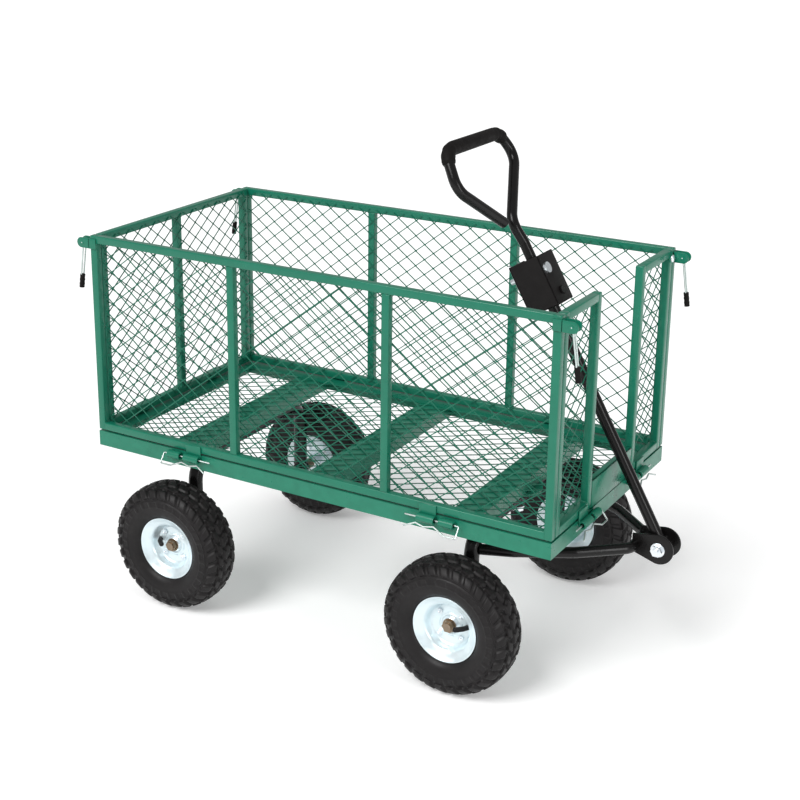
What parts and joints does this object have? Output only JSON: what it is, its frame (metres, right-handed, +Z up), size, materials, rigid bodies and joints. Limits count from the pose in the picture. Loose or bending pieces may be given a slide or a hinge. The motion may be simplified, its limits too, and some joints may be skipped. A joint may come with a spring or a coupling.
{
  "type": "garden cart",
  "caption": "Green steel mesh garden cart with folding panels, block-tread pneumatic wheels, a steered front axle and a black tow handle with a D grip.",
  "frame": {"origin": "on the ground, under the middle of the cart's bounding box", "axes": "+X towards the handle end, +Y to the cart's left, +Z up"},
  "size_m": [1.1423, 0.598, 0.9482],
  "materials": {
    "green_paint": "semi-gloss",
    "black_paint": "gloss",
    "matte_black_paint": "matte",
    "zinc_plate": "satin",
    "yellow_zinc": "satin",
    "tyre_rubber": "matte",
    "grip_foam": "matte"
  },
  "bodies": {
    "chassis": {"deck_frame": "green_paint", "deck_cross_members": "green_paint", "deck_mesh": "green_paint", "deck_hinge_knuckles": "green_paint", "front_sill": "green_paint", "rear_axle_frame": "black_paint", "turntable_upper_plate": "green_paint", "kingpin": "zinc_plate", "rear_stub_axles": "zinc_plate", "rear_axle_nuts": "yellow_zinc", "hinge_clips": "zinc_plate"},
    "front_axle": {"front_axle_frame": "black_paint", "turntable_lower_plate": "black_paint", "tongue_bow": "black_paint", "tongue_clevis": "black_paint", "front_stub_axles": "zinc_plate", "front_axle_nuts": "yellow_zinc", "handle_bolt": "zinc_plate"},
    "handle": {"handle_tube": "black_paint", "hitch_box": "matte_black_paint", "tow_pin": "zinc_plate", "tow_pin_clip": "zinc_plate", "d_handle_bolt": "black_paint"},
    "d_handle": {"d_handle_tube": "black_paint", "d_handle_grip": "grip_foam"},
    "right_panel": {"right_panel_frame": "green_paint", "right_panel_mesh": "green_paint"},
    "left_panel": {"left_panel_frame": "green_paint", "left_panel_mesh": "green_paint"},
    "rear_panel": {"rear_panel_frame": "green_paint", "rear_panel_mesh": "green_paint", "rear_panel_studs": "zinc_plate"},
    "right_gate": {"right_gate_frame": "green_paint", "right_gate_mesh": "green_paint", "right_gate_stud": "zinc_plate"},
    "left_gate": {"left_gate_frame": "green_paint", "left_gate_mesh": "green_paint", "left_gate_stud": "zinc_plate"},
    "front_right_bail": {"front_right_latch_bail": "zinc_plate"},
    "front_right_wheel": {"front_right_tyre": "tyre_rubber", "front_right_rim": "zinc_plate", "front_right_hub": "zinc_plate", "front_right_rim_bolts": "zinc_plate"},
    "front_left_bail": {"front_left_latch_bail": "zinc_plate"},
    "front_left_wheel": {"front_left_tyre": "tyre_rubber", "front_left_rim": "zinc_plate", "front_left_hub": "zinc_plate", "front_left_rim_bolts": "zinc_plate"},
    "rear_right_bail": {"rear_right_latch_bail": "zinc_plate"},
    "rear_right_wheel": {"rear_right_tyre": "tyre_rubber", "rear_right_rim": "zinc_plate", "rear_right_hub": "zinc_plate", "rear_right_rim_bolts": "zinc_plate"},
    "rear_left_bail": {"rear_left_latch_bail": "zinc_plate"},
    "rear_left_wheel": {"rear_left_tyre": "tyre_rubber", "rear_left_rim": "zinc_plate", "rear_left_hub": "zinc_plate", "rear_left_rim_bolts": "zinc_plate"}
  },
  "joints": [
    {"name": "front_axle_steer", "type": "hinge", "parent": "chassis", "child": "front_axle", "pos_m": [0.256, 0, 0.29], "axis": [0, 0, 1], "range_deg": [-18, 18]},
    {"name": "handle_pitch", "type": "hinge", "parent": "front_axle", "child": "handle", "pos_m": [0.54, 0, 0.245], "axis": [0, 1, 0], "range_deg": [0, 130]},
    {"name": "d_handle_flip", "type": "hinge", "parent": "handle", "child": "d_handle", "pos_m": [0.29871, 0, 0.67147], "axis": [-0.8704, 0, -0.4924], "range_deg": [0, 45]},
    {"name": "right_panel_fold", "type": "hinge", "parent": "chassis", "child": "right_panel", "pos_m": [-0.05, -0.2644, 0.319], "axis": [1, 0, 0], "range_deg": [0, 135]},
    {"name": "left_panel_fold", "type": "hinge", "parent": "chassis", "child": "left_panel", "pos_m": [-0.05, 0.2644, 0.319], "axis": [-1, 0, 0], "range_deg": [0, 135]},
    {"name": "rear_panel_fold", "type": "hinge", "parent": "chassis", "child": "rear_panel", "pos_m": [-0.5464, 0, 0.319], "axis": [0, -1, 0], "range_deg": [0, 135]},
    {"name": "right_gate_fold", "type": "hinge", "parent": "chassis", "child": "right_gate", "pos_m": [0.4464, -0.166, 0.319], "axis": [0, 1, 0], "range_deg": [0, 90]},
    {"name": "left_gate_fold", "type": "hinge", "parent": "chassis", "child": "left_gate", "pos_m": [0.4464, 0.166, 0.319], "axis": [0, 1, 0], "range_deg": [0, 90]},
    {"name": "front_right_bail_swing", "type": "hinge", "parent": "right_panel", "child": "front_right_bail", "pos_m": [0.456, -0.25, 0.707], "axis": [0, -1, 0], "range_deg": [0, 100]},
    {"name": "front_right_wheel_spin", "type": "hinge", "parent": "front_axle", "child": "front_right_wheel", "pos_m": [0.256, -0.257, 0.127], "axis": [0, 1, 0], "continuous": true},
    {"name": "front_left_bail_swing", "type": "hinge", "parent": "left_panel", "child": "front_left_bail", "pos_m": [0.456, 0.25, 0.707], "axis": [0, -1, 0], "range_deg": [0, 100]},
    {"name": "front_left_wheel_spin", "type": "hinge", "parent": "front_axle", "child": "front_left_wheel", "pos_m": [0.256, 0.257, 0.127], "axis": [0, 1, 0], "continuous": true},
    {"name": "rear_right_bail_swing", "type": "hinge", "parent": "right_panel", "child": "rear_right_bail", "pos_m": [-0.556, -0.25, 0.707], "axis": [0, 1, 0], "range_deg": [0, 100]},
    {"name": "rear_right_wheel_spin", "type": "hinge", "parent": "chassis", "child": "rear_right_wheel", "pos_m": [-0.356, -0.257, 0.127], "axis": [0, 1, 0], "continuous": true},
    {"name": "rear_left_bail_swing", "type": "hinge", "parent": "left_panel", "child": "rear_left_bail", "pos_m": [-0.556, 0.25, 0.707], "axis": [0, 1, 0], "range_deg": [0, 100]},
    {"name": "rear_left_wheel_spin", "type": "hinge", "parent": "chassis", "child": "rear_left_wheel", "pos_m": [-0.356, 0.257, 0.127], "axis": [0, 1, 0], "continuous": true}
  ]
}
